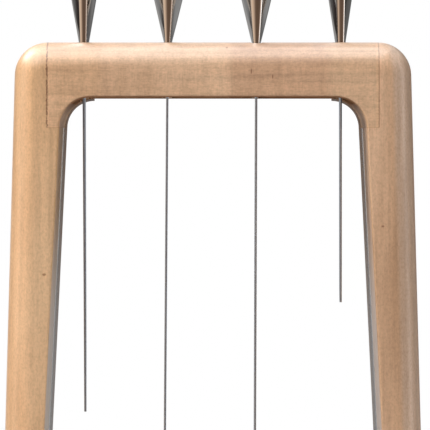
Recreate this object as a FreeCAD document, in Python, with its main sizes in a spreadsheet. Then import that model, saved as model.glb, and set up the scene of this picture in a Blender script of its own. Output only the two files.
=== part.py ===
import FreeCAD, Part
import math
import os

import Sketcher

# A free-standing knife holder: a wooden inverted U with four slots in its top beam, and four
# all-steel knives that hang in the slots, blade down. Millimetres, +Z up, front towards -Y.
# The origin is on the table, in the middle of the footprint.

STAND_SIZES = [
    ("bar_top", 228.0, "top face of the beam above the table"),
    ("beam_thickness", 19.4, "beam, top face to underside"),
    ("stand_depth", 56.0, "beam and legs, front to back"),
    ("seam_half", 58.5, "middle of the beam to the joint with a leg"),
    ("haunch_radius", 10.8, "curve between the underside and a leg"),
    ("outer_radius", 11.8, "rounded top corner of a leg"),
    ("outer_splay", 1.6, "lean of a leg's outer face, degrees"),
    ("inner_top", 54.2, "middle to a leg's inner face, at the joint"),
    ("foot_inner", 63.9, "middle to a leg's inner face, at the foot"),
    ("edge_fillet", 10.0, "rounding of the outer edges"),
    ("inner_round", 0.8, "rounding of the edges around the opening"),
    ("slot_width", 4.1, "knife slot, side to side"),
    ("slot_play", 1.5, "knife slot, longer than its blade is wide"),
    ("slot_corner", 1.6, "rounding of a slot's corners"),
    ("dowel_radius", 3.0, "joint dowel"),
    ("dowel_in_beam", 11.0, "length of dowel inside the beam"),
    ("dowel_in_leg", 7.5, "length of dowel inside the leg"),
    ("dowel_drop", 15.5, "dowel axis below the beam's top"),
    ("dowel_row", 14.0, "dowel axis from the middle of the depth"),
    ("dowel_gap", 0.5, "glue space at each end of a dowel"),
    ("pad_radius", 4.5, "non-slip foot pad"),
    ("pad_height", 2.0, "foot pad, whole height"),
    ("pad_recess", 0.8, "foot pad, height let into the foot"),
    ("pad_row", 16.0, "foot pad axis from the middle of the depth"),
    ("trim_thickness", 0.8, "steel of the inner edge trims"),
    ("trim_width", 16.5, "edge trim, front to back"),
    ("trim_lip", 0.8, "edge trim's lip, proud of the wood"),
]

KNIFE_SIZES = [
    ("bolster_drop", 2.0, "bolster below the top of the beam"),
    ("collar_height", 22.0, "top of the bolster"),
    ("palm_height", 40.0, "thickest place of the handle near the hand's heel"),
    ("waist_height", 74.0, "narrowest place of the handle"),
    ("flare_height", 104.0, "second thick place of the handle"),
    ("butt_height", 119.0, "open end of the handle shell"),
    ("palm_ratio", 1.0, "palm size over handle size"),
    ("waist_ratio", 0.88, "waist size over handle size"),
    ("flare_ratio", 1.02, "flare size over handle size"),
    ("butt_ratio", 0.97, "butt size over handle size"),
    ("neck_nose_ratio", 0.82, "flat of the bolster's front over its thickness, at its lower end"),
    ("nose_ratio", 0.5, "flat of the handle's front over its thickness"),
    ("shell_wall", 1.1, "steel of the hollow handle"),
    ("cap_height", 4.5, "domed part of the butt cap"),
    ("plug_height", 5.0, "part of the butt cap inside the shell"),
    ("spine_inset", 1.5, "spine behind the front of the handle"),
    ("neck_inset", 0.3, "bolster behind the spine"),
    ("tang_top", 76.0, "top of the tang"),
    ("tang_width", 7.0, "tang, front to back"),
    ("tang_thickness", 0.6, "tang, side to side"),
    ("spine_thickness", 0.8, "blade at its spine"),
    ("spine_roundness", 0.51, "radius of the rounded spine over its thickness"),
    ("edge_thickness", 0.14, "blade just behind the cutting edge"),
    ("tip_inset", 0.4, "point of the blade behind the spine line"),
    ("heel_drop", 6.0, "heel corner of the cutting edge below the top of the beam"),
    ("scallop_radius", 5.0, "serration of the bread knife"),
    ("scallop_pitch", 7.0, "serration spacing"),
    ("scallop_depth", 0.9, "serration depth"),
]

# Each knife: place along the beam, lean in its slot in degrees, neck thickness at the beam's top,
# flare of the bolster (thickness gained for each millimetre of height), bolster widths, the flat
# of its front at the top, handle size, and the blade's outline.
KNIFE_FIELDS = [
    "place", "lean", "neck", "flare", "neck_width", "collar_width", "collar_nose",
    "handle_thickness", "handle_width", "blade_reach", "blade_height", "belly_reach", "belly_height", "belly_radius",
]
KNIVES = {
    "utility": [-46.2, -0.28, 3.6, 0.343, 13.0, 18.0, 3.7, 16.5, 22.0, 131.5, 23.0, 84.0, 12.6, 140.0],
    "bread": [-16.1, 0.43, 2.9, 0.473, 16.0, 21.0, 5.2, 18.0, 25.0, 204.0, 31.0, 188.0, 26.5, 24.0],
    "chef": [15.4, 0.21, 3.4, 0.473, 17.0, 22.0, 6.0, 18.5, 26.0, 206.0, 40.0, 104.0, 37.0, 200.0],
    "paring": [45.6, 0.0, 3.7, 0.2985, 12.0, 17.5, 3.7, 15.5, 21.0, 92.5, 20.0, 84.0, 10.5, 9.8],
}

NOSE_BULGE = 0.55
CAP_STEPS = 4
CAP_ARC_DEG = 72.0
FIRST_SCALLOP = 2
NEAR = 0.1
MARGIN = 1.0

YZ_TURN = FreeCAD.Rotation(0.5, 0.5, 0.5, 0.5)
ALONG_X = FreeCAD.Rotation(FreeCAD.Vector(0, 1, 0), 90)

doc = FreeCAD.newDocument("knife_stand")


# ---- the sheet of driving dimensions --------------------------------------------------------

def fill_sheet():
    sheet = doc.addObject("Spreadsheet::Sheet", "Sizes")
    rows = STAND_SIZES + KNIFE_SIZES
    for knife, values in KNIVES.items():
        for field, value in zip(KNIFE_FIELDS, values):
            rows = rows + [(f"{knife}_{field}", value, f"{knife} knife: {field.replace('_', ' ')}")]
    for row, (alias, value, meaning) in enumerate(rows, start=1):
        sheet.set(f"A{row}", meaning)
        sheet.set(f"B{row}", str(value))
        sheet.setAlias(f"B{row}", alias)
    doc.recompute()
    return sheet


SHEET = fill_sheet()


def sized(text):
    """Puts the sheet's name before each alias: 'bar_top - 2 * pad_height' is ready to bind."""
    aliases = {name for name, _, _ in STAND_SIZES + KNIFE_SIZES}
    aliases.update(f"{knife}_{field}" for knife in KNIVES for field in KNIFE_FIELDS)
    words = []
    for word in text.split():
        core = word.strip("()")
        bound = word.replace(core, f"Sizes.{core}") if core in aliases else word
        words.append(bound)
    return " ".join(words)


def value_of(text):
    result = SHEET.evalExpression(sized(text))
    return float(getattr(result, "Value", result))


def bind(item, prop, text):
    item.setExpression(prop, sized(text))


# ---- sketch helpers -------------------------------------------------------------------------

def arc_through(start, end, radius, side):
    """Arc from start to end, bulging to the left (side 1) or the right (side -1) of the way."""
    chord = end - start
    left = FreeCAD.Vector(-chord.y, chord.x, 0).normalize()
    half = chord.Length / 2
    centre_back = math.sqrt(max(radius * radius - half * half, 0.0))
    crown = (start + end) / 2 + left * side * (radius - centre_back)
    return Part.Arc(start, crown, end)


def draw_outline(sketch, corners):
    """corners: (x, y) for a straight side to the next corner, or (x, y, radius, side) for an arc.
    Every corner and radius is held by a named constraint bound to the sheet."""
    spots = [FreeCAD.Vector(value_of(c[0]), value_of(c[1]), 0) for c in corners]
    first = sketch.GeometryCount
    ends = []
    for index, corner in enumerate(corners):
        start = spots[index]
        end = spots[(index + 1) % len(corners)]
        if len(corner) == 2:
            geo = sketch.addGeometry(Part.LineSegment(start, end), False)
        else:
            curve = arc_through(start, end, value_of(corner[2]), corner[3])
            geo = sketch.addGeometry(curve, False)
        forward = (sketch.getPoint(geo, 1) - start).Length < (sketch.getPoint(geo, 2) - start).Length
        ends.append((geo, 1, 2) if forward else (geo, 2, 1))
    for index, (geo, _, tail) in enumerate(ends):
        following, head, _ = ends[(index + 1) % len(ends)]
        sketch.addConstraint(Sketcher.Constraint("Coincident", geo, tail, following, head))
    for index, corner in enumerate(corners):
        geo, head, _ = ends[index]
        name = f"corner_{first + index}"
        hold(sketch, Sketcher.Constraint("DistanceX", geo, head, spots[index].x), name + "_x", corner[0])
        hold(sketch, Sketcher.Constraint("DistanceY", geo, head, spots[index].y), name + "_y", corner[1])
        if len(corner) > 2:
            radius = Sketcher.Constraint("Radius", geo, value_of(corner[2]))
            hold(sketch, radius, name + "_radius", corner[2])


def draw_circle(sketch, x, y, radius):
    centre = FreeCAD.Vector(value_of(x), value_of(y), 0)
    geo = sketch.addGeometry(Part.Circle(centre, FreeCAD.Vector(0, 0, 1), value_of(radius)), False)
    name = f"circle_{geo}"
    hold(sketch, Sketcher.Constraint("DistanceX", geo, 3, centre.x), name + "_x", x)
    hold(sketch, Sketcher.Constraint("DistanceY", geo, 3, centre.y), name + "_y", y)
    hold(sketch, Sketcher.Constraint("Radius", geo, value_of(radius)), name + "_radius", radius)


def hold(sketch, constraint, name, text):
    index = sketch.addConstraint(constraint)
    sketch.renameConstraint(index, name)
    sketch.setExpression(f"Constraints.{name}", sized(text))


# ---- body helpers ---------------------------------------------------------------------------

def new_body(label):
    body = doc.addObject("PartDesign::Body", label)
    body.Label = label
    return body


def new_sketch(body, role, name, offset=None):
    plane = [item for item in body.Origin.OriginFeatures if item.Role == role][0]
    sketch = body.newObject("Sketcher::SketchObject", f"{body.Name}_{name}")
    sketch.AttachmentSupport = [(plane, "")]
    sketch.MapMode = "FlatFace"
    if offset:
        bind(sketch, "AttachmentOffset.Base.z", offset)
    return sketch


def pad_both_ways(body, sketch, length):
    pad = body.newObject("PartDesign::Pad", sketch.Name + "_pad")
    pad.Profile = sketch
    pad.SideType = "Symmetric"
    bind(pad, "Length", length)
    doc.recompute()
    return pad


def pad_one_way(body, sketch, length, reverse):
    pad = body.newObject("PartDesign::Pad", sketch.Name + "_pad")
    pad.Profile = sketch
    pad.Reversed = reverse
    bind(pad, "Length", length)
    doc.recompute()
    return pad


def pocket(body, sketch, depth, reverse):
    before = body.Shape.Volume
    cut = body.newObject("PartDesign::Pocket", sketch.Name + "_pocket")
    cut.Profile = sketch
    cut.Reversed = reverse
    if depth is None:
        cut.Type = "ThroughAll"
    else:
        bind(cut, "Length", depth)
    doc.recompute()
    if body.Shape.Volume >= before:
        raise RuntimeError(f"{cut.Name} removes nothing")
    return cut


def round_edges(body, name, wanted, radius):
    """Fillets the edges of the body's tip whose middle passes the test."""
    base = body.Tip
    chosen = []
    for number, edge in enumerate(base.Shape.Edges, start=1):
        middle = edge.valueAt((edge.FirstParameter + edge.LastParameter) / 2)
        if wanted(edge, middle):
            chosen.append(f"Edge{number}")
    if not chosen:
        raise RuntimeError(f"{name} finds no edges")
    fillet = body.newObject("PartDesign::Fillet", f"{body.Name}_{name}")
    fillet.Base = (base, chosen)
    bind(fillet, "Radius", radius)
    doc.recompute()
    return fillet


def on_front_or_back(edge, middle):
    flat = edge.BoundBox.YLength < NEAR
    return flat and abs(abs(middle.y) - value_of("stand_depth / 2")) < NEAR


# ---- the wooden stand -----------------------------------------------------------------------

UNDERSIDE = "( bar_top - beam_thickness )"
SEAM_HEIGHT = "( bar_top - beam_thickness - haunch_radius )"
HAUNCH_START = "( inner_top - haunch_radius )"
FOOT_HEIGHT = "( pad_height - pad_recess )"
LEAN = "( outer_splay * 1 deg )"
CORNER_X = f"( seam_half + outer_radius * cos{LEAN} )"
CORNER_HEIGHT = f"( bar_top - outer_radius + outer_radius * sin{LEAN} )"
FOOT_OUTER = f"( {CORNER_X} + ( {CORNER_HEIGHT} - {FOOT_HEIGHT} ) * tan{LEAN} )"


def make_top_beam():
    body = new_body("top_beam")
    face = new_sketch(body, "XZ_Plane", "face")
    draw_outline(face, [
        ("-1 * seam_half", "bar_top"),
        ("seam_half", "bar_top"),
        ("seam_half", SEAM_HEIGHT),
        ("inner_top", SEAM_HEIGHT, "haunch_radius", -1),
        (HAUNCH_START, UNDERSIDE),
        (f"-1 * {HAUNCH_START}", UNDERSIDE, "haunch_radius", -1),
        ("-1 * inner_top", SEAM_HEIGHT),
        ("-1 * seam_half", SEAM_HEIGHT),
    ])
    pad_both_ways(body, face, "stand_depth")
    top = value_of("bar_top")
    middle_height = value_of("bar_top - beam_thickness / 2")
    opening_half = value_of("inner_top")

    def top_edge(edge, middle):
        return on_front_or_back(edge, middle) and abs(middle.z - top) < NEAR

    def opening_edge(edge, middle):
        below = middle.z < middle_height and abs(middle.x) < opening_half
        return middle.y < 0 and on_front_or_back(edge, middle) and below

    round_edges(body, "top_rounding", top_edge, "edge_fillet")
    round_edges(body, "opening_rounding", opening_edge, "inner_round")
    cut_knife_slots(body)
    for sign in (-1, 1):
        holes = new_sketch(body, "YZ_Plane", f"dowels_{'right' if sign > 0 else 'left'}",
                           f"{sign} * seam_half")
        for row in (-1, 1):
            draw_circle(holes, f"{row} * dowel_row", "bar_top - dowel_drop", "dowel_radius")
        pocket(body, holes, "dowel_in_beam + dowel_gap", sign < 0)
    return body


def cut_knife_slots(body):
    slots = new_sketch(body, "XY_Plane", "slots", "bar_top")
    for knife in KNIVES:
        side = "( slot_width / 2 )"
        end = f"( ( {knife}_blade_height + slot_play ) / 2 )"
        draw_outline(slots, [
            (f"{knife}_place - {side}", f"-1 * {end}"),
            (f"{knife}_place + {side}", f"-1 * {end}"),
            (f"{knife}_place + {side}", end),
            (f"{knife}_place - {side}", end),
        ])
    pocket(body, slots, None, False)
    half_width = value_of("slot_width / 2")
    half_beam = value_of("beam_thickness / 2")
    places = [value_of(f"{knife}_place") for knife in KNIVES]

    def slot_corner(edge, middle):
        upright = edge.BoundBox.ZLength > half_beam
        return upright and any(abs(abs(middle.x - place) - half_width) < NEAR for place in places)

    round_edges(body, "slot_rounding", slot_corner, "slot_corner")


def make_leg(side, sign):
    body = new_body(f"{side}_leg")
    face = new_sketch(body, "XZ_Plane", "face")
    draw_outline(face, [
        (f"{sign} * seam_half", "bar_top", "outer_radius", sign),
        (f"{sign} * {CORNER_X}", CORNER_HEIGHT),
        (f"{sign} * {FOOT_OUTER}", FOOT_HEIGHT),
        (f"{sign} * foot_inner", FOOT_HEIGHT),
        (f"{sign} * inner_top", SEAM_HEIGHT),
        (f"{sign} * seam_half", SEAM_HEIGHT),
    ])
    pad_both_ways(body, face, "stand_depth")
    foot = value_of(FOOT_HEIGHT)
    half_height = value_of("bar_top / 2")
    leg_middle = value_of("( seam_half + foot_inner ) / 2")

    def outer_edge(edge, middle):
        outside = abs(middle.x) > leg_middle and middle.z > foot + NEAR
        return on_front_or_back(edge, middle) and outside

    def inner_front_edge(edge, middle):
        tall = edge.BoundBox.ZLength > half_height
        return middle.y < 0 and on_front_or_back(edge, middle) and tall and abs(middle.x) < leg_middle

    round_edges(body, "outer_rounding", outer_edge, "edge_fillet")
    round_edges(body, "opening_rounding", inner_front_edge, "inner_round")
    rebate = new_sketch(body, "XZ_Plane", "rebate", "-1 * stand_depth / 2")
    draw_outline(rebate, trim_strip_corners(sign))
    pocket(body, rebate, "trim_width", True)
    holes = new_sketch(body, "YZ_Plane", "dowels", f"{sign} * seam_half")
    for row in (-1, 1):
        draw_circle(holes, f"{row} * dowel_row", "bar_top - dowel_drop", "dowel_radius")
    pocket(body, holes, "dowel_in_leg + dowel_gap", sign > 0)
    recess = new_sketch(body, "XY_Plane", "pads", FOOT_HEIGHT)
    for row in (-1, 1):
        draw_circle(recess, f"{sign} * ( {FOOT_OUTER} + foot_inner ) / 2", f"{row} * pad_row", "pad_radius")
    pocket(body, recess, "pad_recess", True)
    return body


def trim_strip_corners(sign):
    """A slanted strip along a leg's inner face, let into the wood."""
    return [
        (f"{sign} * inner_top", SEAM_HEIGHT),
        (f"{sign} * foot_inner", FOOT_HEIGHT),
        (f"{sign} * ( foot_inner + trim_thickness )", FOOT_HEIGHT),
        (f"{sign} * ( inner_top + trim_thickness )", SEAM_HEIGHT),
    ]


def make_edge_trim(side, sign):
    """A steel strip flush with the wood, with a lip that runs on round the opening's corner."""
    body = new_body(f"{side}_edge_trim")
    strip = new_sketch(body, "XZ_Plane", "strip", "-1 * stand_depth / 2")
    draw_outline(strip, trim_strip_corners(sign))
    pad_one_way(body, strip, "trim_width", False)
    lip = new_sketch(body, "XZ_Plane", "lip", "-1 * stand_depth / 2")
    draw_outline(lip, [
        (f"{sign} * foot_inner", FOOT_HEIGHT),
        (f"{sign} * inner_top", SEAM_HEIGHT, "haunch_radius", -sign),
        (f"{sign} * {HAUNCH_START}", UNDERSIDE),
        (f"{sign} * {HAUNCH_START}", f"{UNDERSIDE} - trim_lip", "haunch_radius - trim_lip", sign),
        (f"{sign} * ( inner_top - trim_lip )", SEAM_HEIGHT),
        (f"{sign} * ( foot_inner - trim_lip )", FOOT_HEIGHT),
    ])
    pad_one_way(body, lip, "trim_thickness", False)
    return body


def make_dowel(side, sign, row_name, row):
    dowel = doc.addObject("Part::Cylinder", f"{row_name}_{side}_dowel")
    dowel.Label = f"{row_name}_{side}_dowel"
    dowel.Placement.Rotation = ALONG_X
    bind(dowel, "Radius", "dowel_radius")
    bind(dowel, "Height", "dowel_in_beam + dowel_in_leg")
    inner_end = "( seam_half - dowel_in_beam )"
    outer_end = "( seam_half + dowel_in_leg )"
    bind(dowel, "Placement.Base.x", inner_end if sign > 0 else f"-1 * {outer_end}")
    bind(dowel, "Placement.Base.y", f"{row} * dowel_row")
    bind(dowel, "Placement.Base.z", "bar_top - dowel_drop")
    return dowel


def make_foot_pad(side, sign, row_name, row):
    pad = doc.addObject("Part::Cylinder", f"{row_name}_{side}_foot_pad")
    pad.Label = f"{row_name}_{side}_foot_pad"
    bind(pad, "Radius", "pad_radius")
    bind(pad, "Height", "pad_height")
    bind(pad, "Placement.Base.x", f"{sign} * ( {FOOT_OUTER} + foot_inner ) / 2")
    bind(pad, "Placement.Base.y", f"{row} * pad_row")
    return pad


def make_stand():
    pieces = [make_top_beam()]
    for side, sign in (("left", -1), ("right", 1)):
        pieces.append(make_leg(side, sign))
        pieces.append(make_edge_trim(side, sign))
        for row_name, row in (("front", -1), ("back", 1)):
            pieces.append(make_dowel(side, sign, row_name, row))
            pieces.append(make_foot_pad(side, sign, row_name, row))
    return pieces


# ---- the knives -----------------------------------------------------------------------------
# A knife is drawn in its own frame: the top of the beam is height 0 and the handle's axis is
# the Z axis. Its place in the slot is the Placement of each finished piece.

def add_section(name, thickness, width, nose, height, shift="0"):
    """A cut across a handle: a narrow nose in front and behind, joined by two bowed flanks."""
    sketch = doc.addObject("Sketcher::SketchObject", name)
    bind(sketch, "Placement.Base.z", height)
    half_nose = f"( ( {nose} ) / 2 )"
    bulge = f"( {half_nose} * {NOSE_BULGE} )"
    front = f"( ( {shift} ) - ( {width} ) / 2 + {bulge} )"
    back = f"( ( {shift} ) + ( {width} ) / 2 - {bulge} )"
    half_chord = f"( ( {width} ) / 2 - {bulge} )"
    bow = f"( ( {thickness} ) / 2 - {half_nose} )"
    flank = f"( ( {half_chord} ^ 2 + {bow} ^ 2 ) / ( 2 * {bow} ) )"
    nose_radius = f"( {half_nose} * ( 1 + {NOSE_BULGE} ^ 2 ) / ( 2 * {NOSE_BULGE} ) )"
    draw_outline(sketch, [
        (f"-1 * {half_nose}", front, nose_radius, -1),
        (half_nose, front, flank, -1),
        (half_nose, back, nose_radius, -1),
        (f"-1 * {half_nose}", back, flank, -1),
    ])
    return sketch


def add_loft(name, sections, straight):
    loft = doc.addObject("Part::Loft", name)
    loft.Sections = sections
    loft.Solid = True
    loft.Ruled = straight
    return loft


def add_block(name, thickness, width, bottom, top, shift="0"):
    """A box centred on the handle's axis, moved along Y by shift."""
    block = doc.addObject("Part::Box", name)
    bind(block, "Length", thickness)
    bind(block, "Width", width)
    bind(block, "Height", f"( {top} ) - ( {bottom} )")
    bind(block, "Placement.Base.x", f"-1 * ( {thickness} ) / 2")
    bind(block, "Placement.Base.y", f"( {shift} ) - ( {width} ) / 2")
    bind(block, "Placement.Base.z", bottom)
    return block


def combine(kind, name, base, tool):
    result = doc.addObject(kind, name)
    result.Base = base
    result.Tool = tool
    return result


def hang_in_slot(item, knife, label):
    """Moves a finished piece from the knife's own frame to its slot."""
    item.Label = label
    item.Placement.Rotation = FreeCAD.Rotation(FreeCAD.Vector(0, 1, 0), 1)
    bind(item, "Placement.Rotation.Angle", f"{knife}_lean")
    bind(item, "Placement.Base.x", f"{knife}_place")
    bind(item, "Placement.Base.y", f"-1 * ( {spine(knife)} + {knife}_blade_height / 2 )")
    bind(item, "Placement.Base.z", "bar_top")
    return item


def spine(knife):
    return f"( spine_inset - {knife}_handle_width / 2 )"


def neck_middle(knife):
    return f"( {spine(knife)} + neck_inset + {knife}_neck_width / 2 )"


def thickness_at(knife, height):
    return f"( {knife}_neck + {knife}_flare * ( {height} ) )"


def make_tang(knife, name):
    return add_block(f"{knife}_{name}", "tang_thickness", "tang_width", "-1 * bolster_drop", "tang_top",
                     neck_middle(knife))


def make_blade_outline(knife):
    """The blade seen from its side: spine in front, heel at the top, point at the bottom."""
    sketch = doc.addObject("Sketcher::SketchObject", f"{knife}_blade_outline")
    sketch.Placement.Rotation = YZ_TURN
    front = f"( {spine(knife)} - {MARGIN} )"
    draw_outline(sketch, [
        (front, "-1 * bolster_drop"),
        (front, f"-1 * {knife}_blade_reach"),
        (f"{spine(knife)} + tip_inset", f"-1 * {knife}_blade_reach", f"{knife}_belly_radius", -1),
        (f"{spine(knife)} + {knife}_belly_height", f"-1 * {knife}_belly_reach"),
        (f"{spine(knife)} + {knife}_blade_height", "-1 * heel_drop"),
        (f"{spine(knife)} + {knife}_blade_height - bolster_drop", "-1 * bolster_drop"),
    ])
    plate = doc.addObject("Part::Extrusion", f"{knife}_blade_plate")
    plate.Base = sketch
    plate.DirMode = "Normal"
    plate.Symmetric = True
    plate.Solid = True
    bind(plate, "LengthFwd", f"spine_thickness + {MARGIN}")
    return plate


def make_blade_section(knife, name, height, thickness):
    """The ground section: a rounded spine in front, tapering to the cutting edge behind."""
    sketch = doc.addObject("Sketcher::SketchObject", f"{knife}_{name}")
    bind(sketch, "Placement.Base.z", height)
    edge_y = f"{spine(knife)} + {knife}_blade_height"
    flank_y = f"{spine(knife)} + {thickness} / 2"
    draw_outline(sketch, [
        ("-1 * edge_thickness / 2", edge_y),
        (f"-1 * {thickness} / 2", flank_y, f"{thickness} * spine_roundness", -1),
        (f"{thickness} / 2", flank_y),
        ("edge_thickness / 2", edge_y),
    ])
    return sketch


def make_serration(knife, plate):
    """Scallops along the bread knife's cutting edge, one cylinder for each."""
    edge_top = FreeCAD.Vector(0, value_of(f"{spine(knife)} + {knife}_blade_height"),
                              value_of("-1 * heel_drop"))
    edge_end = FreeCAD.Vector(0, value_of(f"{spine(knife)} + {knife}_belly_height"),
                              value_of(f"-1 * {knife}_belly_reach"))
    way = edge_end - edge_top
    pitch = value_of("scallop_pitch")
    radius = value_of("scallop_radius")
    count = int(way.Length / pitch) - 1
    outward = FreeCAD.Vector(0, -way.z, way.y).normalize()
    start = FreeCAD.Vector(-radius, 0, 0)
    tools = []
    for step in range(FIRST_SCALLOP, count + 1):
        middle = edge_top + way * (step * pitch / way.Length)
        middle = middle + outward * (radius - value_of("scallop_depth"))
        tools.append(Part.makeCylinder(radius, 2 * radius, middle + start, FreeCAD.Vector(1, 0, 0)))
    cutter = doc.addObject("Part::Feature", f"{knife}_scallops")
    cutter.Shape = Part.makeCompound(tools)
    return combine("Part::Cut", f"{knife}_serrated_plate", plate, cutter)


def make_grind(knife):
    """The ground form: flat sides, equally thick from heel to point."""
    section = make_blade_section(knife, "section", f"-1 * {knife}_blade_reach - {MARGIN}",
                                 "spine_thickness")
    grind = doc.addObject("Part::Extrusion", f"{knife}_grind")
    grind.Base = section
    grind.DirMode = "Normal"
    grind.Solid = True
    bind(grind, "LengthFwd", f"{knife}_blade_reach + {MARGIN}")
    return grind


def make_blade(knife):
    plate = make_blade_outline(knife)
    if knife == "bread":
        plate = make_serration(knife, plate)
    ground = combine("Part::Common", f"{knife}_ground_plate", plate, make_grind(knife))
    blade = combine("Part::Fuse", f"{knife}_blade", ground, make_tang(knife, "tang"))
    return hang_in_slot(blade, knife, f"{knife}_blade")


def make_bolster(knife):
    neck = thickness_at(knife, "-1 * bolster_drop")
    low = add_section(f"{knife}_neck_section", neck, f"{knife}_neck_width", f"{neck} * neck_nose_ratio",
                      "-1 * bolster_drop", neck_middle(knife))
    high = add_section(f"{knife}_collar_section", thickness_at(knife, "collar_height"),
                       f"{knife}_collar_width", f"{knife}_collar_nose", "collar_height")
    cone = add_loft(f"{knife}_cone", [low, high], True)
    bolster = combine("Part::Cut", f"{knife}_bolster", cone, make_tang(knife, "tang_slot"))
    return hang_in_slot(bolster, knife, f"{knife}_bolster")


def make_handle_form(knife, name, wall):
    """The whole handle as one smooth form, drawn in by wall all round."""
    stations = [(thickness_at(knife, "collar_height"), f"{knife}_collar_width", f"{knife}_collar_nose",
                 "collar_height")]
    for place in ("palm", "waist", "flare", "butt"):
        thick = f"( {knife}_handle_thickness * {place}_ratio )"
        wide = f"( {knife}_handle_width * {place}_ratio )"
        stations.append((thick, wide, f"{thick} * nose_ratio", f"{place}_height"))
    sections = []
    for index, (thick, wide, nose, height) in enumerate(stations):
        sections.append(add_section(f"{knife}_{name}_{index}", f"{thick} - 2 * {wall}",
                                    f"{wide} - 2 * {wall}", f"{nose} - {wall}", height))
    return add_loft(f"{knife}_{name}", sections, False)


def make_butt_cap(knife, hollow):
    thick = f"( {knife}_handle_thickness * butt_ratio )"
    wide = f"( {knife}_handle_width * butt_ratio )"
    rings = []
    for step in range(CAP_STEPS):
        angle = math.radians(CAP_ARC_DEG * step / (CAP_STEPS - 1))
        shrink = round(math.cos(angle), 4)
        rise = round(math.sin(angle), 4)
        rings.append(add_section(f"{knife}_cap_{step}", f"{thick} * {shrink}", f"{wide} * {shrink}",
                                 f"{thick} * nose_ratio * {shrink}",
                                 f"butt_height + cap_height * {rise}"))
    dome = add_loft(f"{knife}_dome", rings, False)
    reach = add_block(f"{knife}_plug_block", f"{knife}_handle_width * 2", f"{knife}_handle_width * 2",
                      "butt_height - plug_height", "butt_height")
    plug = combine("Part::Common", f"{knife}_plug", hollow, reach)
    cap = combine("Part::Fuse", f"{knife}_butt_cap", dome, plug)
    return hang_in_slot(cap, knife, f"{knife}_butt_cap")


def make_filler(knife, hollow):
    reach = add_block(f"{knife}_filler_block", f"{knife}_handle_width * 2", f"{knife}_handle_width * 2",
                      "collar_height", "butt_height - plug_height")
    core = combine("Part::Common", f"{knife}_core", hollow, reach)
    filler = combine("Part::Cut", f"{knife}_handle_filler", core, make_tang(knife, "tang_socket"))
    return hang_in_slot(filler, knife, f"{knife}_handle_filler")


def make_knife(knife):
    hollow = make_handle_form(knife, "hollow", "shell_wall")
    outside = make_handle_form(knife, "outside", "0")
    shell = combine("Part::Cut", f"{knife}_handle_shell", outside, hollow)
    return [
        make_blade(knife),
        make_bolster(knife),
        hang_in_slot(shell, knife, f"{knife}_handle_shell"),
        make_filler(knife, hollow),
        make_butt_cap(knife, hollow),
    ]


# ---- build, check and write -----------------------------------------------------------------

def check_document(pieces):
    for item in doc.Objects:
        if "Invalid" in item.State or "Error" in item.State:
            raise RuntimeError(f"{item.Name} is {item.State}")
        if item.TypeId == "Sketcher::SketchObject" and not item.FullyConstrained:
            raise RuntimeError(f"{item.Name} is not fully constrained")
    for piece in pieces:
        if piece.Shape.isNull() or not piece.Shape.isValid():
            raise RuntimeError(f"{piece.Label} has no valid shape")
        if len(piece.Shape.Solids) != 1:
            raise RuntimeError(f"{piece.Label} has {len(piece.Shape.Solids)} solids")


def main():
    pieces = make_stand()
    for knife in KNIVES:
        pieces = pieces + make_knife(knife)
    doc.recompute()
    check_document(pieces)
    os.makedirs("parts", exist_ok=True)
    for piece in pieces:
        piece.Shape.exportStep(f"parts/{piece.Label}.step")
        print(f"{piece.Label}: {piece.Shape.Volume / 1000:.2f} cm3")


main()
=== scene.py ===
import math

import bpy
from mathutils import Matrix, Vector


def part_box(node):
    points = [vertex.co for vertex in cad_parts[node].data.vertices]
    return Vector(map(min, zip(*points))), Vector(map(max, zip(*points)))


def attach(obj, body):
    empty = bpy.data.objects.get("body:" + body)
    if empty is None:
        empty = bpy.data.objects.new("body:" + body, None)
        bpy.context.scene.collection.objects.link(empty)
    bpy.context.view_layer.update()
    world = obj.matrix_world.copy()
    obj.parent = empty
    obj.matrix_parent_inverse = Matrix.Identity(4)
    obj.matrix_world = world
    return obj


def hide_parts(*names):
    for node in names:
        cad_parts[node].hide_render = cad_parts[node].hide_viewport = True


# The looks of the knife stand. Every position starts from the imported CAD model, in metres.

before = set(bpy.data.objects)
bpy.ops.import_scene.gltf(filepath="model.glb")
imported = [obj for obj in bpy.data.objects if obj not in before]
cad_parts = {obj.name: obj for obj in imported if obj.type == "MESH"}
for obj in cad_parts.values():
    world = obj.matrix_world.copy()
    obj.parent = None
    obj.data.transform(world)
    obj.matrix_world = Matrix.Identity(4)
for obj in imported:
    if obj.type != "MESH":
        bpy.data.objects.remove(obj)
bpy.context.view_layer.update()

MM = 0.001
BEAM_LOW, BEAM_HIGH = (Vector(corner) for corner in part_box("top_beam"))
FRONT = BEAM_LOW.y
TOP = BEAM_HIGH.z
SEAM = BEAM_HIGH.x

scene = bpy.context.scene
scene.view_settings.view_transform = "Standard"


# ---- camera ---------------------------------------------------------------------------------

CAMERA_DISTANCE = 1.330
CAMERA_DROP = 0.036
AIM_DROP = 0.061
AIM_SIDE = 0.0007
HALF_FRAME = 0.0757


def aim(item, target):
    item.rotation_euler = (Vector(target) - item.location).to_track_quat("-Z", "Y").to_euler()


def make_camera():
    data = bpy.data.cameras.new("photo_camera")
    data.angle = 2 * math.atan(HALF_FRAME / CAMERA_DISTANCE)
    camera = bpy.data.objects.new("photo_camera", data)
    scene.collection.objects.link(camera)
    camera.location = (0, FRONT - CAMERA_DISTANCE, TOP - CAMERA_DROP)
    aim(camera, (AIM_SIDE, FRONT, TOP - AIM_DROP))
    scene.camera = camera


# ---- node helpers ---------------------------------------------------------------------------

def add_node(tree, kind, inputs=None, **settings):
    item = tree.nodes.new(kind)
    for name, value in settings.items():
        setattr(item, name, value)
    for name, value in (inputs or {}).items():
        if isinstance(value, bpy.types.NodeSocket):
            tree.links.new(value, item.inputs[name])
        else:
            item.inputs[name].default_value = value
    return item


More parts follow.
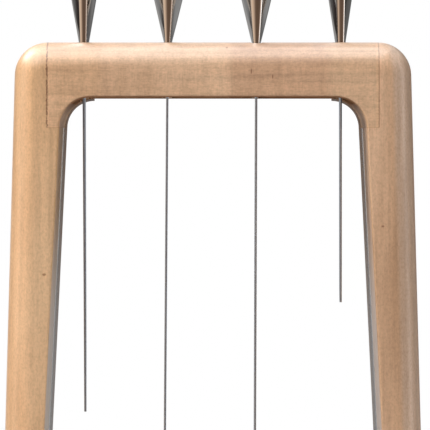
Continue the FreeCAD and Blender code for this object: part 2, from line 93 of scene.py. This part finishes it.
def calc(tree, operation, first, second=0.0, third=0.0):
    return add_node(tree, "ShaderNodeMath", {0: first, 1: second, 2: third}, operation=operation).outputs[0]


def mix(tree, factor, first, second, mode="MIX"):
    item = add_node(tree, "ShaderNodeMix", data_type="RGBA", blend_type=mode)
    for index, value in ((0, factor), (6, first), (7, second)):
        if isinstance(value, bpy.types.NodeSocket):
            tree.links.new(value, item.inputs[index])
        else:
            item.inputs[index].default_value = value
    return item.outputs[2]


def noise(tree, coords, scale=1.0, detail=2.0, distortion=0.0):
    settings = {"Vector": coords, "Scale": scale, "Detail": detail, "Distortion": distortion}
    return add_node(tree, "ShaderNodeTexNoise", settings).outputs[0]


def remap(tree, value, low, high, to_low, to_high, smooth=True):
    kind = "SMOOTHSTEP" if smooth else "LINEAR"
    inputs = {0: value, 1: low, 2: high, 3: to_low, 4: to_high}
    return add_node(tree, "ShaderNodeMapRange", inputs, interpolation_type=kind).outputs[0]


def ramp(tree, value, stops, interpolation="LINEAR"):
    item = add_node(tree, "ShaderNodeValToRGB", {0: value})
    colors = item.color_ramp
    colors.interpolation = interpolation
    colors.elements[0].position, colors.elements[0].color = stops[0]
    colors.elements[1].position, colors.elements[1].color = stops[-1]
    for position, color in stops[1:-1]:
        colors.elements.new(position).color = color
    return item.outputs[0]


def grey(level):
    return (level, level, level, 1.0)


def new_material(name):
    material = bpy.data.materials.new(name)
    material.use_nodes = True
    return material, material.node_tree, material.node_tree.nodes["Principled BSDF"]


def object_coords(tree):
    return add_node(tree, "ShaderNodeTexCoord").outputs["Object"]


def stretched(tree, coords, scales, shift=0.0):
    inputs = {"Vector": coords, "Scale": scales, "Location": (shift, shift, shift)}
    return add_node(tree, "ShaderNodeMapping", inputs).outputs[0]


def set_bump(tree, shader, height, strength, distance):
    inputs = {"Height": height, "Strength": strength, "Distance": distance}
    bump = add_node(tree, "ShaderNodeBump", inputs)
    tree.links.new(bump.outputs[0], shader.inputs["Normal"])


# ---- wood -----------------------------------------------------------------------------------

WOOD_DARK = (0.540, 0.315, 0.170, 1.0)
WOOD_MIDDLE = (0.660, 0.408, 0.240, 1.0)
WOOD_LIGHT = (0.740, 0.490, 0.310, 1.0)
SEAM_BROWN = (0.36, 0.25, 0.18, 1.0)
SEAM_PALE = (1.10, 1.08, 1.05, 1.0)
KNOT_BROWN = (0.50, 0.36, 0.26, 1.0)
# Tint of the painted shade on faces that look down and on the slot walls.
PAINTED_UNDERSIDE_SHADE = (0.42, 0.36, 0.34, 1.0)
STAVE_JOIN = 2.2 * MM
SLOT_ZONE = 50.0 * MM
# Cool grey-blue tint of the painted sheen on the right leg's front outer rounding.
PAINTED_SHEEN_TINT = (0.93, 1.06, 1.28, 1.0)


def grain_scales(axis, along, across):
    return tuple(along if index == axis else across for index in range(3))


def darken(tree, color, mask, tint):
    """Multiplies the colour by tint where the mask is 1."""
    return mix(tree, mask, color, mix(tree, 1.0, color, tint, "MULTIPLY"))


def seam_mask(tree, coord, wobble, middle, jag, width):
    offset = calc(tree, "MULTIPLY_ADD", wobble, jag, -middle - jag / 2)
    distance = calc(tree, "ABSOLUTE", calc(tree, "ADD", coord, offset))
    return remap(tree, distance, width * 0.4, width, 1.0, 0.0)


def spot_mask(tree, coords, centre, radii):
    """1 inside an ellipse lying in the front face, fading out at its rim."""
    inputs = {"Vector": coords, "Location": tuple(-c / r for c, r in zip(centre, radii)),
              "Scale": tuple(1 / r for r in radii)}
    local = add_node(tree, "ShaderNodeMapping", inputs).outputs[0]
    length = add_node(tree, "ShaderNodeVectorMath", {0: local}, operation="LENGTH").outputs["Value"]
    return remap(tree, length, 0.4, 1.0, 1.0, 0.0)


def make_wood(name, axis, shift, tone, cross_figure, staves=(), knots=(), painted_sheen=False):
    """Pale lacquered maple. axis is the grain's direction, tone the piece's own brightness and cross_figure the
    strength of the fine streaks across the grain. With the last option set, a cool grey-blue sheen is painted on the
    rounding between the front and the +X side, a painted reflection of light from the right."""
    material, tree, shader = new_material(name)
    coords = object_coords(tree)
    parts = add_node(tree, "ShaderNodeSeparateXYZ", {0: coords})
    side, height = parts.outputs[0], parts.outputs[2]

    cloud = noise(tree, stretched(tree, coords, grain_scales(axis, 7.0, 38.0), shift), detail=3.0, distortion=0.6)
    color = ramp(tree, cloud, [(0.30, WOOD_DARK), (0.48, WOOD_MIDDLE), (0.66, WOOD_LIGHT)])
    color = mix(tree, 0.30, color, WOOD_MIDDLE)
    color = mix(tree, 1.0, color, (*tone, 1.0), "MULTIPLY")
    for start, end, level in staves:
        inside = calc(tree, "MULTIPLY", remap(tree, side, start - STAVE_JOIN, start + STAVE_JOIN, 0.0, 1.0),
                      remap(tree, side, end - STAVE_JOIN, end + STAVE_JOIN, 1.0, 0.0))
        color = darken(tree, color, inside, (*level, 1.0))

    rings = noise(tree, stretched(tree, coords, grain_scales(axis, 14.0, 420.0), shift + 3.0), detail=4.0,
                  distortion=0.35)
    fibre = noise(tree, stretched(tree, coords, grain_scales(axis, 260.0, 1900.0), shift), detail=3.0)
    rays = noise(tree, stretched(tree, coords, grain_scales(2 - axis, 260.0, 1900.0), shift + 11.0), detail=3.0)
    speckle = noise(tree, stretched(tree, coords, grain_scales(axis, 1100.0, 1700.0), shift + 7.0), detail=2.0)
    broad = noise(tree, stretched(tree, coords, grain_scales(2 - axis, 30.0, 260.0), shift + 15.0), detail=3.0)
    for figure, depth in ((rings, 0.15), (fibre, 0.08), (rays, 0.7 * cross_figure), (speckle, 0.13),
                          (broad, 0.8 * cross_figure)):
        shades = ramp(tree, figure, [(0.28, (1 - depth, 1 - 1.15 * depth, 1 - 1.3 * depth, 1.0)),
                                     (0.50, grey(1.0)), (0.72, grey(1 + 0.7 * depth))])
        color = mix(tree, 1.0, color, shades, "MULTIPLY")

    wobble = noise(tree, stretched(tree, coords, (0.0, 0.0, 900.0), shift), detail=3.0)
    upper = remap(tree, height, BEAM_LOW.z - 0.2 * MM, BEAM_LOW.z + 0.2 * MM, 0.0, 1.0)
    left_seam = seam_mask(tree, side, wobble, -SEAM, 1.1 * MM, 0.40 * MM)
    broken = noise(tree, stretched(tree, coords, (0.0, 0.0, 420.0), shift + 4.0), detail=2.0)
    left_seam = calc(tree, "MULTIPLY", left_seam, remap(tree, broken, 0.36, 0.52, 0.25, 1.0))
    color = darken(tree, color, calc(tree, "MULTIPLY", left_seam, upper), SEAM_BROWN)
    right_seam = seam_mask(tree, side, wobble, SEAM, 0.3 * MM, 0.26 * MM)
    color = darken(tree, color, calc(tree, "MULTIPLY", right_seam, upper), (0.62, 0.5, 0.42, 1.0))
    right_glow = seam_mask(tree, side, wobble, SEAM - 0.7 * MM, 0.3 * MM, 0.5 * MM)
    color = darken(tree, color, calc(tree, "MULTIPLY", right_glow, upper), SEAM_PALE)
    foot_seam = seam_mask(tree, height, wobble, BEAM_LOW.z, 0.1 * MM, 0.22 * MM)
    at_end = remap(tree, calc(tree, "ABSOLUTE", side), SEAM - 0.3 * MM, SEAM, 1.0, 0.0)
    color = darken(tree, color, calc(tree, "MULTIPLY", foot_seam, at_end), (0.88, 0.82, 0.76, 1.0))
    for centre, radii in knots:
        color = darken(tree, color, spot_mask(tree, coords, centre, radii), KNOT_BROWN)

    tree.links.new(remap(tree, rings, 0.3, 0.7, 0.50, 0.38), shader.inputs["Roughness"])
    facing = add_node(tree, "ShaderNodeSeparateXYZ", {0: add_node(tree, "ShaderNodeNewGeometry").outputs["Normal"]})
    clear_of_painted_shade = remap(tree, facing.outputs[2], -0.85, -0.30, 0.0, 1.0)
    outside_slots = calc(tree, "MAXIMUM", calc(tree, "LESS_THAN", calc(tree, "ABSOLUTE", facing.outputs[0]), 0.5),
                         calc(tree, "GREATER_THAN", calc(tree, "ABSOLUTE", side), SLOT_ZONE))
    clear_of_painted_shade = calc(tree, "MULTIPLY", clear_of_painted_shade, outside_slots)
    inward = calc(tree, "LESS_THAN", calc(tree, "MULTIPLY", side, facing.outputs[0]), -0.5 * SEAM)
    sheltered = remap(tree, height, TOP - 0.110, TOP - 0.055, 1.0, 0.05)
    # Painted shade: faces that look down, and the side walls of the slots, are darkened by the underside tint. The same
    # mask takes the lacquer off them.
    color = mix(tree, clear_of_painted_shade, mix(tree, 1.0, color, PAINTED_UNDERSIDE_SHADE, "MULTIPLY"), color)
    if painted_sheen:
        # Painted sheen: a cool grey-blue tint on the rounding between the front and the +X side stands in for a
        # reflection of light from the right.
        rim = calc(tree, "MULTIPLY", remap(tree, facing.outputs[0], 0.22, 0.42, 0.0, 1.0),
                   remap(tree, facing.outputs[0], 0.88, 0.97, 1.0, 0.0))
        rim = calc(tree, "MULTIPLY", rim, calc(tree, "LESS_THAN", facing.outputs[1], 0.0))
        color = darken(tree, color, calc(tree, "MULTIPLY", rim, remap(tree, speckle, 0.3, 0.6, 0.7, 1.0)), PAINTED_SHEEN_TINT)
    tree.links.new(color, shader.inputs["Base Color"])
    polish = calc(tree, "MULTIPLY", clear_of_painted_shade, mix(tree, inward, grey(1.0), sheltered))
    tree.links.new(polish, shader.inputs["Coat Weight"])
    tree.links.new(calc(tree, "MULTIPLY", polish, 0.5), shader.inputs["Specular IOR Level"])
    shader.inputs["Coat Roughness"].default_value = 0.28
    set_bump(tree, shader, calc(tree, "ADD", fibre, calc(tree, "MULTIPLY", rings, 0.6)), 0.22, 0.05 * MM)
    return material


def make_plain_wood(name):
    """Unlacquered dowel wood with its grain along X and pale pores."""
    material, tree, shader = new_material(name)
    coords = object_coords(tree)
    fibre = noise(tree, stretched(tree, coords, (60.0, 1500.0, 1500.0)), detail=3.0)
    color = ramp(tree, fibre, [(0.35, (0.52, 0.34, 0.20, 1.0)), (0.65, (0.70, 0.50, 0.32, 1.0))])
    tree.links.new(color, shader.inputs["Base Color"])
    shader.inputs["Roughness"].default_value = 0.7
    set_bump(tree, shader, fibre, 0.3, 0.05 * MM)
    return material


# ---- steel, rubber and resin ----------------------------------------------------------------

def make_steel(name, level, rough, lines, depth):
    """Bare steel. lines scales the noise that draws the polishing or grinding marks."""
    material, tree, shader = new_material(name)
    coords = object_coords(tree)
    marks = noise(tree, stretched(tree, coords, lines), detail=3.0)
    smudge = noise(tree, stretched(tree, coords, (90.0, 90.0, 60.0), 5.0), detail=2.0)
    low = tuple(0.96 * part for part in level)
    tree.links.new(ramp(tree, marks, [(0.3, (*low, 1.0)), (0.7, (*level, 1.0))]), shader.inputs["Base Color"])
    wear = calc(tree, "MULTIPLY", marks, calc(tree, "ADD", smudge, 0.5))
    tree.links.new(remap(tree, wear, 0.25, 0.75, rough * 0.92, rough * 1.10), shader.inputs["Roughness"])
    shader.inputs["Metallic"].default_value = 1.0
    set_bump(tree, shader, marks, depth, 0.02 * MM)
    return material


def make_dull(name, dark, light, rough, scale):
    """Moulded rubber or cast resin with a fine cloudy grain."""
    material, tree, shader = new_material(name)
    grain = noise(tree, object_coords(tree), scale=scale, detail=4.0)
    tree.links.new(ramp(tree, grain, [(0.35, dark), (0.65, light)]), shader.inputs["Base Color"])
    shader.inputs["Roughness"].default_value = rough
    set_bump(tree, shader, grain, 0.4, 0.05 * MM)
    return material


# ---- mesh helpers ---------------------------------------------------------------------------

def new_piece(name, points, faces, material, body, slot, *nodes):
    mesh = bpy.data.meshes.new(name)
    mesh.from_pydata(points, [], faces)
    mesh.update()
    for polygon in mesh.polygons:
        polygon.use_smooth = True
    mesh.materials.append(material)
    piece = bpy.data.objects.new(name, mesh)
    scene.collection.objects.link(piece)
    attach(piece, body)
    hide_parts(*nodes)
    return piece


def loft_rings(rings):
    """Closed skin over rings with equal counts of points, lowest ring first, flat at both ends."""
    count = len(rings[0])
    points = [point for ring in rings for point in ring]
    faces = []
    for row in range(len(rings) - 1):
        for index in range(count):
            following = (index + 1) % count
            faces.append((row * count + index, row * count + following,
                          (row + 1) * count + following, (row + 1) * count + index))
    faces.append(tuple(reversed(range(count))))
    last = (len(rings) - 1) * count
    faces.append(tuple(range(last, last + count)))
    return points, faces


def sharpen(piece, degrees):
    """Keeps the shading crisp across edges sharper than this."""
    piece.data.set_sharp_from_angle(angle=math.radians(degrees))


# ---- knives ---------------------------------------------------------------------------------
# Millimetres in each knife's own frame, as in the CAD model: height 0 is the beam's top.

KNIFE_FIELDS = ("place", "lean", "neck", "flare", "neck_width", "collar_width", "collar_nose", "thickness",
                "width", "reach", "height", "belly_reach", "belly_height", "belly_radius")
KNIVES = {
    "utility": (-46.2, -0.28, 3.6, 0.343, 13.0, 18.0, 3.7, 16.5, 22.0, 131.5, 23.0, 84.0, 12.6, 140.0),
    "bread": (-16.1, 0.43, 2.9, 0.473, 16.0, 21.0, 5.2, 18.0, 25.0, 204.0, 31.0, 188.0, 26.5, 24.0),
    "chef": (15.4, 0.21, 3.4, 0.473, 17.0, 22.0, 6.0, 18.5, 26.0, 206.0, 40.0, 104.0, 37.0, 200.0),
    "paring": (45.6, 0.0, 3.7, 0.2985, 12.0, 17.5, 3.7, 15.5, 21.0, 92.5, 20.0, 84.0, 10.5, 9.8),
}
SPINE_INSET = 1.5
NECK_INSET = 0.3
DROP = 2.0
HEEL_DROP = 6.0
COLLAR = 22.0
BUTT = 119.0
CAP_HEIGHT = 4.2
NOSE_BULGE = 0.55
STATIONS = ((40.0, 1.0), (74.0, 0.88), (104.0, 1.02), (BUTT, 0.97))
SPINE_THICKNESS = 0.8
EDGE_THICKNESS = 0.14
KEEN_EDGE = 0.05
BEVEL_WIDTH = 1.2
SCALLOP_RADIUS = 5.0
SCALLOP_PITCH = 7.0
SCALLOP_DEPTH = 0.9


def knife_sizes(knife):
    return dict(zip(KNIFE_FIELDS, KNIVES[knife]))


def to_frame(k, x, y, z):
    """From a knife's own millimetres to the frame's metres."""
    lean = math.radians(k["lean"])
    shift = -(SPINE_INSET - k["width"] / 2 + k["height"] / 2)
    return ((k["place"] + x * math.cos(lean) + z * math.sin(lean)) * MM, (y + shift) * MM,
            TOP + (z * math.cos(lean) - x * math.sin(lean)) * MM)


def arc_points(start, end, sagitta, count):
    """Points of an arc from start towards end, which bulges to the right of the way."""
    chord = Vector(end) - Vector(start)
    half = chord.length / 2
    radius = (half * half + sagitta * sagitta) / (2 * sagitta)
    way = chord.normalized()
    out = Vector((way.y, -way.x))
    centre = (Vector(start) + Vector(end)) / 2 - out * (radius - sagitta)
    sweep = math.asin(min(1.0, half / radius))
    steps = (sweep * (2 * index / count - 1) for index in range(count))
    return [centre + radius * (out * math.cos(a) + way * math.sin(a)) for a in steps]


def handle_section(thickness, width, nose, shift):
    half = nose / 2
    front = shift - width / 2 + half * NOSE_BULGE
    back = shift + width / 2 - half * NOSE_BULGE
    bow = thickness / 2 - half
    return (arc_points((-half, front), (half, front), half * NOSE_BULGE, 14)
            + arc_points((half, front), (half, back), bow, 26)
            + arc_points((half, back), (-half, back), half * NOSE_BULGE, 14)
            + arc_points((-half, back), (-half, front), bow, 26))


def cone_section(k, z):
    """Bolster: straight lines from the neck to the collar."""
    share = (z + DROP) / (COLLAR + DROP)
    low_thickness = k["neck"] - k["flare"] * DROP
    spine = SPINE_INSET - k["width"] / 2
    neck_middle = spine + NECK_INSET + k["neck_width"] / 2
    high_thickness = k["neck"] + k["flare"] * COLLAR
    low = handle_section(low_thickness, k["neck_width"], low_thickness * 0.82, neck_middle)
    high = handle_section(high_thickness, k["collar_width"], k["collar_nose"], 0.0)
    return [a.lerp(b, share) for a, b in zip(low, high)]


def hermite(knots, slopes, z):
    for index in range(len(knots) - 1):
        (z0, v0), (z1, v1) = knots[index], knots[index + 1]
        if z <= z1:
            span = z1 - z0
            t = (z - z0) / span
            return (v0 * (2 * t ** 3 - 3 * t ** 2 + 1) + slopes[index] * span * (t ** 3 - 2 * t ** 2 + t)
                    + v1 * (3 * t ** 2 - 2 * t ** 3) + slopes[index + 1] * span * (t ** 3 - t ** 2))
    return knots[-1][1]


def grip_value(k, z, kind):
    size = k["thickness"] if kind != "width" else k["width"]
    start = {"thickness": k["neck"] + k["flare"] * COLLAR, "width": k["collar_width"],
             "nose": k["collar_nose"]}[kind]
    ratio = 0.5 if kind == "nose" else 1.0
    knots = [(COLLAR, start)] + [(place, size * scale * ratio) for place, scale in STATIONS]
    first = {"thickness": k["flare"], "width": 0.1, "nose": 0.03}[kind]
    slopes = [first]
    for index in range(1, len(knots) - 1):
        rise = knots[index + 1][1] - knots[index - 1][1]
        slopes.append(rise / (knots[index + 1][0] - knots[index - 1][0]) * 0.8)
    slopes.append(-0.03)
    return hermite(knots, slopes, z)


def grip_section(k, z):
    return handle_section(grip_value(k, z, "thickness"), grip_value(k, z, "width"), grip_value(k, z, "nose"), 0.0)


def ring_in(k, section, z, inset=0.0):
    """The section at height z, drawn in towards its middle by inset millimetres."""
    middle = sum(section, Vector((0.0, 0.0))) / len(section)
    drawn = [point - (point - middle).normalized() * inset for point in section]
    return [to_frame(k, point.x, point.y, z) for point in drawn]


def heights(low, high, step):
    count = max(2, round((high - low) / step))
    return [low + (high - low) * index / count for index in range(count + 1)]


def make_handle(knife, polished, brushed):
    k = knife_sizes(knife)
    body = f"{knife}_knife"
    groove = 0.10
    rings = [ring_in(k, cone_section(k, z), z) for z in heights(-DROP, COLLAR - groove, 0.8)]
    rings.append(ring_in(k, cone_section(k, COLLAR), COLLAR, groove))
    bolster = new_piece(f"{knife}_bolster_cone", *loft_rings(rings), polished, body, "handle_steel",
                        f"{knife}_bolster")
    rings = [ring_in(k, grip_section(k, COLLAR), COLLAR, groove)]
    rings += [ring_in(k, grip_section(k, z), z) for z in heights(COLLAR + groove, BUTT - groove, 0.9)]
    rings.append(ring_in(k, grip_section(k, BUTT), BUTT, groove))
    grip = new_piece(f"{knife}_grip", *loft_rings(rings), brushed, body, "handle_steel",
                     f"{knife}_handle_shell")
    end = grip_section(k, BUTT)
    rings = [ring_in(k, end, BUTT, groove), ring_in(k, end, BUTT + groove)]
    for step in range(1, 15):
        angle = math.radians(89.0 * step / 14)
        shrunk = [point * math.cos(angle) for point in end]
        rings.append(ring_in(k, shrunk, BUTT + groove + (CAP_HEIGHT - groove) * math.sin(angle)))
    cap = new_piece(f"{knife}_end_cap", *loft_rings(rings), brushed, body, "handle_steel",
                    f"{knife}_butt_cap")
    for piece in (bolster, grip, cap):
        sharpen(piece, 40.0)


def edge_line(knife, k, z):
    """How far the cutting edge is behind the spine at height z."""
    if z > -HEEL_DROP:
        return k["height"] - DROP * (z + HEEL_DROP) / (HEEL_DROP - DROP)
    if z >= -k["belly_reach"]:
        share = (-HEEL_DROP - z) / (k["belly_reach"] - HEEL_DROP)
        edge = k["height"] + (k["belly_height"] - k["height"]) * share
        return edge - scallop_cut(-HEEL_DROP - z) if knife == "bread" else edge
    high = Vector((k["belly_height"], -k["belly_reach"]))
    low = Vector((0.4, -k["reach"]))
    chord = low - high
    out = Vector((-chord.y, chord.x)).normalized()
    back = math.sqrt(k["belly_radius"] ** 2 - (chord.length / 2) ** 2)
    centre = (high + low) / 2 - out * back
    reach = max(0.0, k["belly_radius"] ** 2 - (z - centre.y) ** 2)
    return max(0.4, centre.x + math.sqrt(reach))


def scallop_cut(along):
    if along < SCALLOP_PITCH * 1.5:
        return 0.0
    offset = (along + SCALLOP_PITCH / 2) % SCALLOP_PITCH - SCALLOP_PITCH / 2
    return max(0.0, SCALLOP_DEPTH - SCALLOP_RADIUS + math.sqrt(SCALLOP_RADIUS ** 2 - offset ** 2))


def blade_ring(knife, k, z):
    """Rounded spine, ground flanks and a narrow second bevel down to the keen edge."""
    spine = SPINE_INSET - k["width"] / 2
    thick = SPINE_THICKNESS
    edge = edge_line(knife, k, z)
    flank_start = thick / 2
    bevel = min(BEVEL_WIDTH, (edge - flank_start) * 0.4)
    flank_end = edge - bevel

    def half_at(depth):
        run = (depth - flank_start) / (k["height"] - flank_start)
        return (thick + (EDGE_THICKNESS - thick) * run) / 2

    flank = [flank_start + (flank_end - flank_start) * step / 6 for step in range(7)]
    right = [(half_at(depth), depth) for depth in flank] + [(KEEN_EDGE / 2, edge)]
    nose = []
    for step in range(1, 12):
        angle = math.radians(-90 + 180 * step / 12)
        nose.append((math.sin(angle) * thick / 2, flank_start - 0.41 * thick * math.cos(angle)))
    left = [(-x, y) for x, y in reversed(right)]
    return [to_frame(k, x, spine + y, z) for x, y in left + nose + right]


def make_blade(knife, ground):
    k = knife_sizes(knife)
    step = 0.5 if knife == "bread" else 3.0
    body_rows = heights(-k["belly_reach"], -HEEL_DROP, step)
    count = 36
    run = k["reach"] - k["belly_reach"]
    tip_rows = [-k["reach"] + run * (1 - math.cos(math.pi / 2 * index / count)) for index in range(count)]
    levels = tip_rows + body_rows + [-4.0, -DROP]
    rings = [blade_ring(knife, k, z) for z in levels]
    blade = new_piece(f"{knife}_ground_blade", *loft_rings(rings), ground, f"{knife}_knife", "blade_steel",
                      f"{knife}_blade")
    sharpen(blade, 12.0)


# ---- foot pads ------------------------------------------------------------------------------

PAD_PROFILE = ((0.60, 0.00), (0.86, 0.02), (0.95, 0.12), (0.99, 0.28), (1.00, 0.45), (1.00, 0.92), (0.97, 1.00))
PAD_SIDES = 48


def make_pad(node, rubber):
    low, high = (Vector(corner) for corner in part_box(node))
    middle = (low + high) / 2
    radius = (high.x - low.x) / 2
    rings = []
    for width, rise in PAD_PROFILE:
        turns = (2 * math.pi * index / PAD_SIDES for index in range(PAD_SIDES))
        rings.append([(middle.x + radius * width * math.cos(a), middle.y + radius * width * math.sin(a),
                       low.z + (high.z - low.z) * rise) for a in turns])
    pad = new_piece(f"{node}_disc", *loft_rings(rings), rubber, "stand", "pad_rubber", node)
    sharpen(pad, 50.0)


# ---- the stand's own CAD nodes --------------------------------------------------------------

def dress(node, material):
    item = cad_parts[node]
    for holder in item.material_slots:
        holder.material = material


def dress_stand(steel, rubber):
    mid = (BEAM_LOW.x + BEAM_HIGH.x) / 2
    staves = [(-SEAM - 0.01, -0.040, (1.02, 1.0, 0.95)), (0.006, 0.041, (0.85, 0.80, 0.78)),
              (0.041, SEAM + 0.01, (0.93, 0.92, 0.90))]
    knots = [((mid + 0.0049, FRONT, TOP - 0.0020), (0.0006, 0.02, 0.0004)),
             ((mid + 0.0135, FRONT, TOP - 0.0104), (0.0003, 0.02, 0.0013)),
             ((mid + 0.0210, FRONT, TOP - 0.0123), (0.0003, 0.02, 0.0011))]
    dress("top_beam", make_wood("beam_maple", 0, 0.0, (0.97, 0.965, 0.96), 0.14, staves, knots))
    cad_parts["top_beam"].visible_glossy = False
    left_knots = [((-SEAM - 0.0010, FRONT, TOP - 0.0820), (0.0009, 0.02, 0.0006))]
    left_staves = [(-0.0640, -0.040, (0.90, 0.91, 0.90))]
    right_staves = [(0.040, 0.0625, (1.08, 1.10, 1.13))]
    right_knots = [((SEAM + 0.0013, FRONT, TOP - 0.0650), (0.0007, 0.02, 0.0005))]
    dress("left_leg", make_wood("left_leg_maple", 2, 21.0, (1.09, 1.05, 0.93), 0.03, left_staves, left_knots))
    dress("right_leg", make_wood("right_leg_maple", 2, 43.0, (0.91, 0.88, 0.86), 0.03, right_staves, right_knots, True))
    dowel_wood = make_plain_wood("dowel_beech")
    for row in ("front", "back"):
        for side in ("left", "right"):
            dress(f"{row}_{side}_dowel", dowel_wood)
            make_pad(f"{row}_{side}_foot_pad", rubber)
    for side in ("left", "right"):
        dress(f"{side}_edge_trim", steel)


# ---- studio ---------------------------------------------------------------------------------

FLOOR_RADIUS = 0.9


def make_floor():
    material, tree, shader = new_material("pale_floor")
    coords = object_coords(tree)
    distance = add_node(tree, "ShaderNodeVectorMath", {0: coords}, operation="LENGTH").outputs["Value"]
    shader.inputs["Base Color"].default_value = grey(0.80)
    shader.inputs["Roughness"].default_value = 0.9
    # Painted light: the floor glows more and more from 0.45 m out to its rim, so it fades into the white surroundings.
    shader.inputs["Emission Color"].default_value = grey(1.0)
    tree.links.new(remap(tree, distance, 0.45, FLOOR_RADIUS, 0.0, 0.7), shader.inputs["Emission Strength"])
    sides = 96
    turns = [2 * math.pi * index / sides for index in range(sides)]
    mesh = bpy.data.meshes.new("floor")
    rim = [(FLOOR_RADIUS * math.cos(a), FLOOR_RADIUS * math.sin(a), 0.0) for a in turns]
    mesh.from_pydata(rim, [], [tuple(range(sides))])
    mesh.materials.append(material)
    floor = bpy.data.objects.new("floor", mesh)
    scene.collection.objects.link(floor)
    floor.visible_glossy = False


def make_world():
    """White behind the object, soft grey light all round, and a studio for the steel to mirror."""
    world = bpy.data.worlds.new("studio")
    scene.world = world
    world.use_nodes = True
    tree = world.node_tree
    way = add_node(tree, "ShaderNodeSeparateXYZ", {0: add_node(tree, "ShaderNodeTexCoord").outputs["Generated"]})
    turn = calc(tree, "ARCTAN2", way.outputs[0], calc(tree, "MULTIPLY", way.outputs[1], -1.0))
    around = remap(tree, turn, -math.pi, math.pi, 0.0, 1.0, smooth=False)
    mirrored = ramp(tree, around, [
        (0.00, (0.95, 0.95, 0.95, 1.0)),
        (0.012, (0.90, 0.90, 0.90, 1.0)),
        (0.03, (0.36, 0.355, 0.35, 1.0)),
        (0.085, (0.34, 0.33, 0.32, 1.0)),
        (0.100, (0.04, 0.035, 0.03, 1.0)),
        (0.205, (0.04, 0.03, 0.03, 1.0)),
        (0.235, (0.85, 0.68, 0.54, 1.0)),
        (0.32, (0.95, 0.68, 0.48, 1.0)),
        (0.39, (0.58, 0.41, 0.30, 1.0)),
        (0.455, (0.20, 0.125, 0.085, 1.0)),
        (0.54, (0.16, 0.10, 0.065, 1.0)),
        (0.65, (0.17, 0.11, 0.08, 1.0)),
        (0.69, (0.95, 0.70, 0.54, 1.0)),
        (0.715, (0.90, 0.74, 0.64, 1.0)),
        (0.745, (0.90, 0.74, 0.64, 1.0)),
        (0.757, (0.05, 0.04, 0.035, 1.0)),
        (0.80, (0.05, 0.045, 0.04, 1.0)),
        (0.83, (0.13, 0.125, 0.12, 1.0)),
        (0.97, (0.14, 0.14, 0.14, 1.0)),
        (0.988, (0.90, 0.90, 0.90, 1.0)),
        (1.00, (0.95, 0.95, 0.95, 1.0)),
    ])
    table = calc(tree, "MULTIPLY", remap(tree, way.outputs[2], -0.06, -0.01, 1.0, 0.0),
                 remap(tree, way.outputs[2], -0.17, -0.11, 0.0, 0.7))
    mirrored = mix(tree, table, mirrored, grey(0.42))
    zenith = remap(tree, way.outputs[2], 0.35, 0.75, 0.0, 1.0)
    overhead = mix(tree, remap(tree, way.outputs[0], -0.65, -0.20, 1.0, 0.0), grey(1.2), grey(5.0))
    low_back = calc(tree, "MULTIPLY", remap(tree, way.outputs[2], -0.32, -0.20, 1.0, 0.0),
                    remap(tree, way.outputs[1], 0.20, 0.45, 0.0, 1.0))
    mirrored = mix(tree, low_back, mirrored, (0.64, 0.55, 0.47, 1.0))
    mirrored = mix(tree, zenith, mirrored, overhead)
    ambient = ramp(tree, remap(tree, way.outputs[2], -1.0, 1.0, 0.0, 1.0), [(0.0, grey(0.06)), (1.0, grey(0.20))])
    path = add_node(tree, "ShaderNodeLightPath")
    color = mix(tree, path.outputs["Is Glossy Ray"], ambient, mirrored)
    color = mix(tree, path.outputs["Is Camera Ray"], color, grey(1.0))
    tree.links.new(color, tree.nodes["Background"].inputs["Color"])


def add_light(name, place, size, power, color=(1.0, 1.0, 1.0), glossy=True):
    data = bpy.data.lights.new(name, "AREA")
    data.shape = "RECTANGLE"
    data.size, data.size_y = size
    data.energy = power
    data.color = color
    lamp = bpy.data.objects.new(name, data)
    scene.collection.objects.link(lamp)
    lamp.location = place
    aim(lamp, (0, 0, TOP * 0.8))
    lamp.visible_glossy = glossy


def make_lights():
    add_light("key_softbox", (-0.45, -0.80, 1.15), (1.0, 0.9), 4.7)
    add_light("top_softbox", (-0.05, -0.10, 1.30), (1.1, 1.0), 12.5)
    add_light("front_fill", (-0.30, -2.00, 0.45), (1.2, 1.0), 2.7, glossy=False)
    add_light("left_strip", (-1.10, -0.25, 0.35), (0.5, 1.1), 4.8, glossy=False)
    add_light("left_top_softbox", (-0.85, 0.25, 1.05), (0.6, 0.6), 4.5)
    add_light("right_fill", (1.10, -0.25, 0.35), (0.6, 1.2), 0.6, color=(0.70, 0.86, 1.0), glossy=False)
    add_light("right_strip", (1.10, -0.14, 0.35), (0.15, 1.1), 1.1, color=(0.94, 0.97, 1.0))


# ---- build ----------------------------------------------------------------------------------

def main():
    make_camera()
    polished = make_steel("polished_steel", (0.66, 0.645, 0.63), 0.07, (700.0, 700.0, 90.0), 0.02)
    brushed = make_steel("brushed_steel", (0.56, 0.64, 0.73), 0.24, (1500.0, 1500.0, 40.0), 0.04)
    ground = make_steel("ground_steel", (0.52, 0.62, 0.74), 0.32, (120.0, 40.0, 1400.0), 0.0)
    trim = make_steel("trim_steel", (0.76, 0.79, 0.81), 0.13, (1500.0, 1500.0, 25.0), 0.02)
    rubber = make_dull("pad_rubber", (0.012, 0.012, 0.012, 1.0), (0.03, 0.03, 0.03, 1.0), 0.75, 1800.0)
    resin = make_dull("cast_resin", (0.035, 0.036, 0.04, 1.0), (0.07, 0.07, 0.08, 1.0), 0.6, 600.0)
    dress_stand(trim, rubber)
    for knife in KNIVES:
        make_handle(knife, polished, brushed)
        make_blade(knife, ground)
        dress(f"{knife}_handle_filler", resin)
    make_floor()
    make_world()
    make_lights()


main()
